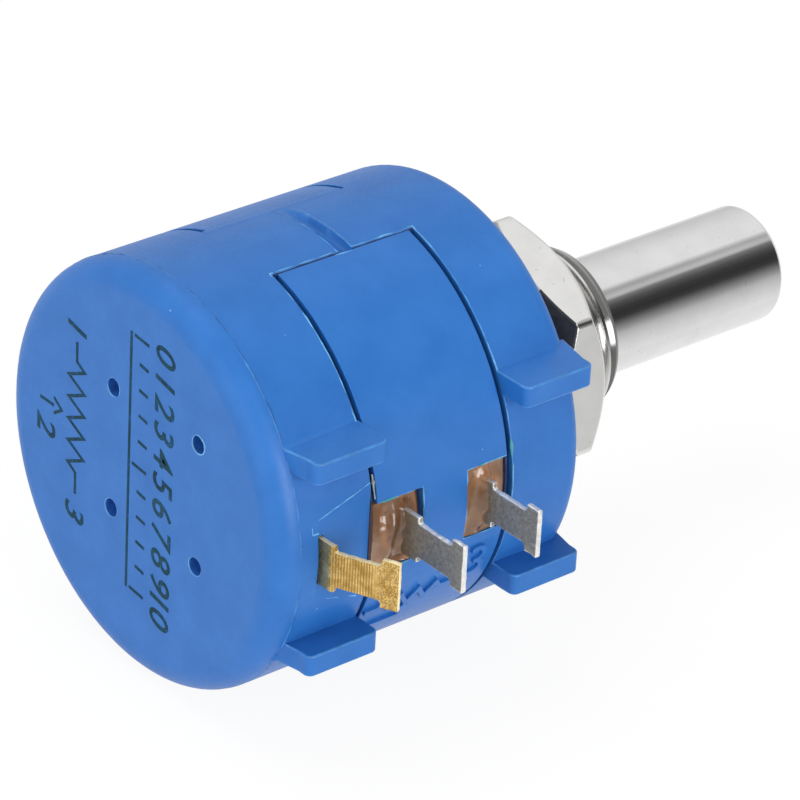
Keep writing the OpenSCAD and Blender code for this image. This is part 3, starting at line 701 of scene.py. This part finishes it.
def makeTerminal(nodeName, pieceName, material, edgeMaterial):
    t = terminals
    form = formOfNode(nodeName)
    sharp = [e for e in form.edges if len(e.link_faces) == 2 and e.calc_face_angle() > math.radians(40)]
    width = t["round"] * (t["goldRound"] if material is gold else 1)
    bmesh.ops.bevel(form, geom=sharp, offset=width * mm, affect="EDGES", segments=2, profile=0.5, material=1,
                    clamp_overlap=True)
    tip = min(v.co.y for v in form.verts)
    for face in form.faces:      # cut edges and the tip get a brighter tone, a painted highlight
        if abs(face.normal.z) > 0.5 or face.normal.y < -0.8 and face.calc_center_median().y < tip + 0.2 * mm:
            face.material_index = 1
    sliceForm(form, 1, t["slice"])
    sliceForm(form, 2, t["slice"] * 2)
    for v in form.verts:         # small lumps, as on sheared and dipped sheet
        if v.co.y < t["lumpyFrom"] * mm:
            lump = noise.noise_vector(v.co / (t["lumpSpan"] * mm)) * t["wobble"] * mm
            fine = noise.noise_vector(v.co / (t["fineSpan"] * mm)) * t["wobble"] * 0.6 * mm
            v.co += Vector(((lump.x + fine.x) * 0.35, (lump.y + fine.y) * 0.8, lump.z + fine.z))
    piece = makePiece(form, pieceName, [material, edgeMaterial], sharpAngle=50, recalculate=False)
    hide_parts(nodeName)


for nodeName, (pieceName, material, edgeMaterial) in terminals["nodes"].items():
    makeTerminal(nodeName, pieceName, material, edgeMaterial)
print("terminals made")


# sealing resin in the two windows

resinPads = {
    "bottom": 9.35, "top": 10.92, "halfWidth": 1.93, "grid": 44,
    "lump": 0.14, "fineLump": 0.02,
    "ridge": 0.28, "ridgePlace": 0.36, "ridgeSway": 0.05, "ridgeWidth": 0.10,      # as shares of the pad's length
    "rim": 0.07, "rimSpan": 0.12, "drop": 0.34, "dropSpan": 0.2,      # rises at its edges and drops at the front one
    "meniscus": 0.40, "meniscusSpan": 0.2, "terminalHalf": (0.14, 1.22),
    # rear and front end, the terminal's place and the piece's name
    "pads": {"resin_front": (-7.50, -4.78, -6.35, "resinFront"), "resin_rear": (-13.37, -10.33, -11.43, "resinRear")},
}


def makeResin(nodeName, rear, front, terminalX, pieceName):
    r = resinPads
    form = bmesh.new()
    bmesh.ops.create_grid(form, x_segments=r["grid"], y_segments=r["grid"], size=0.5)
    for v in form.verts:
        u, w = v.co.x + 0.5, v.co.y * 2
        x, z = rear + (front - rear) * u, w * r["halfWidth"]
        spot = Vector((x, 0, z))
        height = math.sqrt(r["top"] ** 2 - z * z)
        height += r["lump"] * noise.noise(spot * 0.9) + r["fineLump"] * noise.noise(spot * 3.1)
        fromRidge = u - r["ridgePlace"] - r["ridgeSway"] * math.sin(2.2 * w)
        height += r["ridge"] * math.exp(-(fromRidge / r["ridgeWidth"]) ** 2) * (1 - w * w * 0.8)
        side = min(u, 1 - u) * (front - rear), (1 - abs(w)) * r["halfWidth"]
        height += r["rim"] * math.exp(-min(side) / r["rimSpan"])
        height -= r["drop"] * math.exp(-((front - x) / r["dropSpan"]) ** 2)
        halfThick, halfWide = r["terminalHalf"]
        away = math.hypot(max(abs(x - terminalX) - halfThick, 0), max(abs(z) - halfWide, 0))
        uneven = 0.75 + 0.5 * noise.noise(spot * 1.7 + Vector((3, 0, 0)))
        height += r["meniscus"] * math.exp(-away / r["meniscusSpan"]) * uneven
        v.co = Vector((x, -height, z)) * mm

    def settle(v):
        v.co.y = -r["bottom"] * mm

    closeUnder(form, settle)
    piece = makePiece(form, pieceName, [resin], sharpAngle=60)
    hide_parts(nodeName)


for nodeName, (rear, front, terminalX, pieceName) in resinPads["pads"].items():
    makeResin(nodeName, rear, front, terminalX, pieceName)
print("resin made")


# side seam: its floor rises softly to the far panel's edge, and a strip closes the hairline along that edge

seam = {
    "edgeAngle": 104.0, "fade": 14.0,     # degrees: the far panel's edge, and the rise of the floor before it
    "floorUnder": 10.3, "edgeUnder": 10.7, "halfWidth": 0.30, "proud": 0.012,
}


def atRadius(radius):
    def settle(v):
        share = radius * mm / math.hypot(v.co.y, v.co.z)
        v.co.y *= share
        v.co.z *= share
    return settle


def makeSeamFloor(name, sign):
    h = housing
    form = bmesh.new()
    bmesh.ops.create_grid(form, x_segments=10, y_segments=70, size=0.5)
    for v in form.verts:
        u, w = v.co.x + 0.5, v.co.y + 0.5
        angle = h["panelAngle"] - 0.2 + (seam["edgeAngle"] + 0.6 - h["panelAngle"]) * w
        rise = clamped((angle - seam["edgeAngle"] + seam["fade"]) / seam["fade"])
        rise = rise * rise * (3 - 2 * rise)
        reach = 1.0 - 0.55 * clamped((angle - h["panelAngle"]) / (seam["edgeAngle"] - h["panelAngle"]))
        hollow = 1 - min(abs((2 * u - 1) / reach), 1.0) ** 8
        radius = h["radius"] + 0.006 - (h["radius"] - h["seamFloor"] + 0.006) * (1 - rise) * hollow
        v.co = around(h["seamRear"] - 0.02 + (h["seamFront"] - h["seamRear"] + 0.04) * u, radius, sign * angle)
    closeUnder(form, atRadius(seam["floorUnder"]))
    makePiece(form, name, [coverBlue], sharpAngle=60)


def makeSeamEdge(name, sign):
    h = housing
    form = bmesh.new()
    bmesh.ops.create_grid(form, x_segments=60, y_segments=6, size=0.5)
    for v in form.verts:
        u, w = v.co.x + 0.5, v.co.y * 2
        radius = h["radius"] + seam["proud"] * (1 - w ** 4) - 0.01 * w ** 4
        angle = seam["edgeAngle"] + math.degrees(seam["halfWidth"] * w / h["radius"])
        v.co = around(h["panelRear"] - 0.34 + (h["panelFront"] - h["panelRear"] + 0.32) * u, radius, sign * angle)
    closeUnder(form, atRadius(seam["edgeUnder"]))
    makePiece(form, name, [coverBlue], sharpAngle=60)


for sign, name in ((-1, "seamUpper"), (1, "seamLower")):
    makeSeamFloor(name + "Floor", sign)
    makeSeamEdge(name + "Edge", sign)
print("seam made")


# thin mould flash along the edges

flash = {
    "step": 0.14, "fineStep": 0.05,
    "radius": 11.09, "ringEnd": 179.8, "floorRadius": 10.74,
    "rearWindow": (-13.08, -10.28), "frontWindow": (-7.5, -4.98), "windowHalf": 1.95,
}


def arcPoints(x, radius, start, end, step=flash["step"]):
    count = max(int(abs(end - start) * math.pi / 180 * radius / step), 2)
    return [(x, radius, start + (end - start) * i / count) for i in range(count + 1)]


def edgePoints(x0, x1, radius, angle0, angle1=None, step=flash["step"]):
    angle1 = angle0 if angle1 is None else angle1
    length = math.hypot(x1 - x0, math.radians(angle1 - angle0) * radius)
    count = max(int(length / step), 2)
    return [(x0 + (x1 - x0) * i / count, radius, angle0 + (angle1 - angle0) * i / count) for i in range(count + 1)]


def circlePoints(y, z, radius, x):
    turns = [(math.tau - 0.04) * i / 28 for i in range(29)]      # the ends stay a little apart
    spots = [(y + radius * math.cos(turn), z + radius * math.sin(turn)) for turn in turns]
    return [(x, math.hypot(*spot), math.degrees(math.atan2(-spot[1], -spot[0]))) for spot in spots]


# lines of uneven thickness, more so where patchy is large
def makeFlash(name, lines, thickness, material, seed, patchy):
    curve = bpy.data.curves.new(name, "CURVE")
    curve.dimensions = "3D"
    curve.bevel_depth = thickness * mm
    curve.bevel_resolution = 1
    curve.use_fill_caps = True
    shift = Vector((seed * 7.3, 0, 0))
    for line in lines:
        spline = curve.splines.new("POLY")
        spline.points.add(len(line) - 1)
        for point, (x, radius, angle) in zip(spline.points, line):
            place = around(x, radius, angle)
            point.co = (place + noise.noise_vector(place / (0.5 * mm) + shift) * 0.02 * mm).to_4d()
            amount = 1 + patchy * 2.4 * noise.noise(place / (0.9 * mm) + shift)
            burst = max(noise.noise(place / (0.35 * mm) + shift * 2) - 0.42, 0) * 5 * patchy
            point.radius = max(amount + burst, 0.15)
    makePiece(formOfCurve(curve, 1e-7), name, [material], sharpAngle=80)


panelAngle, seamFront, seamRear = housing["panelAngle"], housing["seamFront"], housing["seamRear"]
gapFront, gapRear = housing["panelFront"] + housing["panelGap"], housing["panelRear"] - housing["panelGap"]
windowHalf = math.degrees(math.asin(flash["windowHalf"] / housing["radius"]))
lean = -panelAngle - 0.55      # the panel's upper long edge
near, fine, ringEnd = flash["radius"], flash["fineStep"], flash["ringEnd"]

makeFlash("rimParting", [arcPoints(housing["rimLine"], 11.084, -ringEnd, ringEnd)], 0.020, edgeWearAndHighlight, 1, 1.1)
# painted shade beside the parting line, on the shaded side of the rim's soft step
makeFlash("rimShade", [arcPoints(housing["rimLine"] + 0.05, 11.068, -ringEnd, ringEnd)], 0.034, rimShadeBlue, 11, 0.8)
# painted shade: a dark strip along the panel's upper gap
makeFlash("gapShade", [
    edgePoints(gapRear + 0.1, seamRear, 11.045, lean + 0.35),
    edgePoints(seamFront, gapFront, 11.035, lean + 0.35),
], 0.070, gapShadeBlue, 5, 0.15)

panelLines = [
    edgePoints(gapRear + 0.1, seamRear, 11.10, lean - 0.35),
    edgePoints(seamFront, gapFront - 0.05, 11.10, lean - 0.3),
    arcPoints(gapFront + 0.05, near, -panelAngle, 14),
    arcPoints(gapRear - 0.05, near, -panelAngle, -26),
]
for angle in (-windowHalf, windowHalf):
    panelLines += [edgePoints(*flash[window], near, angle) for window in ("rearWindow", "frontWindow")]
panelLines += [arcPoints(-10.27, near, -windowHalf, windowHalf), arcPoints(-7.51, near, -windowHalf, windowHalf)]
makeFlash("panelFlash", panelLines, 0.017, flashBlue, 2, 1.3)

makeFlash("seamFlash", [
    arcPoints(seamRear - 0.03, near, -77, -98),
    arcPoints(seamFront + 0.03, near, -77, -99),
], 0.034, edgeWearAndHighlight, 4, 0.9)
makeFlash("cornerFlash", [
    edgePoints(gapRear - 0.10, gapRear + 0.12, near, lean - 0.3, step=fine),
    arcPoints(gapRear - 0.08, 11.08, lean - 0.3, lean + 0.8, fine),
    edgePoints(gapFront - 0.25, gapFront + 0.1, near, lean - 0.4, step=fine),
    arcPoints(gapFront + 0.06, 11.08, lean - 0.3, lean + 1.5, fine),
    arcPoints(seamFront + 0.02, near, lean - 1.8, lean - 0.2, fine),
    edgePoints(seamRear - 0.25, seamRear + 0.75, near, lean + 0.7, lean + 1.0, fine),
    arcPoints(seamRear - 0.02, near, lean - 1.2, lean - 0.1, fine),
], 0.026, flashBlue, 6, 0.8)
makeFlash("windowFlash", [
    edgePoints(-6.7, -4.95, near, -windowHalf - 0.1, step=fine),
    arcPoints(gapFront + 0.02, 11.07, -14, -6, fine),
    edgePoints(-13.0, -12.0, near, -windowHalf - 0.1, step=fine),
    edgePoints(-12.9, -11.0, 11.08, windowHalf + 0.1, step=fine),
], 0.052, tealFlash, 7, 1.0)
makeFlash("resinFlash", [arcPoints(gapRear + 0.22, 10.99, -18.0, -11.5, fine)], 0.050, paleResin, 8, 0.7)

# painted shade: dark strips on the gaps' floors on both sides
makeFlash("gapFloorShade", [arcPoints(x, flash["floorRadius"], middle - panelAngle, middle + panelAngle)
                       for middle in (0, 180) for x in (gapFront - 0.15, gapRear + 0.15)], 0.12, gapShadeBlue, 9, 0.1)
makeFlash("dimpleRims", [circlePoints(y, z, 0.50, housing["rearFace"] + 0.005) for y, z in dimples["places"]],
          0.024, flashBlue, 10, 0.9)
# fine lines around the flat place where the gold terminal comes out
makeFlash("padLines", [
    edgePoints(-16.7, -13.45, near, -11.6, -16.2),
    edgePoints(-16.7, -14.0, near, 11.2, 15.6),
    arcPoints(-17.1, near, -10.2, -8.2),
    edgePoints(-17.1, -16.75, near, -8.2),
], 0.026, flashBlue, 3, 0.8)
print("mould flash made")


# moulded marks on the panel and printed marks on the rear face

marks = {
    "sink": 0.2, "raise": 0.17, "line": 0.26,                  # moulded: how far it starts below the panel
    "digitHeight": 2.1, "digitPlace": (-6.98, 24.9),           # x and degrees
    "signAngle": 24.5,
    "printHeight": 1.5, "printShear": 0.22, "printThick": 0.014, "printLine": 0.17, "printGrow": 0.018,
    "scaleStart": -7.9, "scaleStep": 1.42, "scaleDigits": 1.25, "scaleTop": 0.65, "scaleLine": -0.75,
    "longTick": 1.15, "shortTick": 0.7,
    "signMiddle": -5.1, "signHalf": 0.65, "signDigits": -5.85,
}


def textForm(words, height, thickness, shear=0.0, align="LEFT", grow=0.0):
    curve = bpy.data.curves.new("words", "FONT")
    curve.body = words
    curve.size = height / 0.7 * mm       # capitals are about 0.7 of the size
    curve.shear = shear
    curve.align_x = align
    curve.extrude = thickness / 2 * mm
    curve.offset = grow * mm
    curve.resolution_u = 5
    form = formOfCurve(curve, 1e-8)
    bmesh.ops.translate(form, verts=form.verts, vec=(0, 0, thickness / 2 * mm))
    return form


def addForm(target, source):
    scratch = bpy.data.meshes.new("scratch")
    source.to_mesh(scratch)
    source.free()
    target.from_mesh(scratch)
    bpy.data.meshes.remove(scratch)


# a drawn line of even width, with mitred corners
def strokeForm(points, width, thickness):
    form = bmesh.new()
    spots = [Vector((x, y, 0)) for x, y in points]
    sides = []
    for i, spot in enumerate(spots):
        before = (spot - spots[i - 1]).normalized() if i else (spots[1] - spot).normalized()
        after = (spots[i + 1] - spot).normalized() if i + 1 < len(spots) else before
        normal = Vector((-(before + after).y, (before + after).x, 0)).normalized()
        reach = width / 2 / max(normal.dot(Vector((-before.y, before.x, 0))), 0.35)
        sides.append([form.verts.new((spot + normal * way * reach) * mm) for way in (-1, 1)])
    for (a, b), (c, d) in zip(sides, sides[1:]):
        form.faces.new((a, c, d, b))
    long = [e for e in form.edges if e.calc_length() > 1.2 * mm]
    if long:
        bmesh.ops.subdivide_edges(form, edges=long, cuts=3)
    block = bmesh.ops.extrude_face_region(form, geom=form.faces[:])
    bmesh.ops.translate(form, verts=[v for v in block["geom"] if isinstance(v, bmesh.types.BMVert)],
                        vec=(0, 0, thickness * mm))
    return form


# the digit 3 and a plain sign of a variable resistor, made flat and wrapped onto the round panel
def makeMouldedMarks():
    m = marks
    radius = housing["radius"]
    thickness = m["raise"] + m["sink"]
    form = textForm("3", m["digitHeight"], thickness)
    x, angle = m["digitPlace"]
    bmesh.ops.translate(form, verts=form.verts, vec=(x * mm, -math.radians(angle) * radius * mm, 0))
    zigzag = [(-13.0, 0.0), (-12.2, 0.0)]
    zigzag += [(-11.9 + 0.55 * i, 0.42 if i % 2 == 0 else -0.42) for i in range(7)]
    zigzag += [(-8.3, 0.0), (-7.6, 0.0)]
    wiper = [(-12.4, -1.55), (-10.25, -1.55), (-10.25, -0.72)]
    arrowHead = [(-10.6, -1.08), (-10.25, -0.66), (-9.9, -1.08)]
    base = -math.radians(m["signAngle"]) * radius
    for points in (zigzag, wiper, arrowHead):
        addForm(form, strokeForm([(x, base + y) for x, y in points], m["line"], thickness))
    for v in form.verts:
        height = radius - m["sink"] + v.co.z / mm
        v.co = around(v.co.x / mm, height, math.degrees(-v.co.y / mm / radius))
    makePiece(form, "mouldedMarks", [sleeveBlue], sharpAngle=35)


def placePrint(form, words, across, down):
    m = marks
    block = textForm(words, m["printHeight"], m["printThick"], m["printShear"], "CENTER", m["printGrow"])
    bmesh.ops.translate(block, verts=block.verts, vec=(down * mm, across * mm, 0))
    addForm(form, block)


# printed in the plane of the rear face: x runs downwards in the photo, y towards the terminals
def makePrint():
    m = marks
    form = bmesh.new()

    def draw(*points):
        addForm(form, strokeForm(points, m["printLine"], m["printThick"]))

    for i in range(11):                  # a scale of ten turns
        place = m["scaleStart"] + i * m["scaleStep"]
        placePrint(form, str(i), m["scaleDigits"], place)
        tall = m["longTick"] if i % 5 == 0 else m["shortTick"]
        draw((place, m["scaleTop"] - tall), (place + 0.12, m["scaleTop"]))
    draw((-8.0, m["scaleLine"]), (6.4, m["scaleLine"]))

    # sign of a variable resistor with its terminal numbers
    placePrint(form, "1", m["signDigits"], -6.3)
    placePrint(form, "3", m["signDigits"], 4.2)
    middle, half = m["signMiddle"], m["signHalf"]
    zigzag = [(-3.95 + 0.62 * i, middle + (half if i % 2 == 0 else -half)) for i in range(10)]
    draw((-5.4, middle), (-4.3, middle), *zigzag, (2.0, middle), (3.2, middle))
    draw((-1.0, -8.1), (-1.0, -6.95))
    draw((-1.45, -6.95), (-1.0, -6.3), (-0.55, -6.95))
    placePrint(form, "2", -8.3, 0.35)
    turn = Matrix(((0, 0, -1), (0, -1, 0), (-1, 0, 0))).to_4x4()
    form.transform(Matrix.Translation((housing["rearFace"] * mm, 0, 0)) @ turn)
    makePiece(form, "rearPrint", [ink], sharpAngle=35)


makeMouldedMarks()
makePrint()
print("marks made")
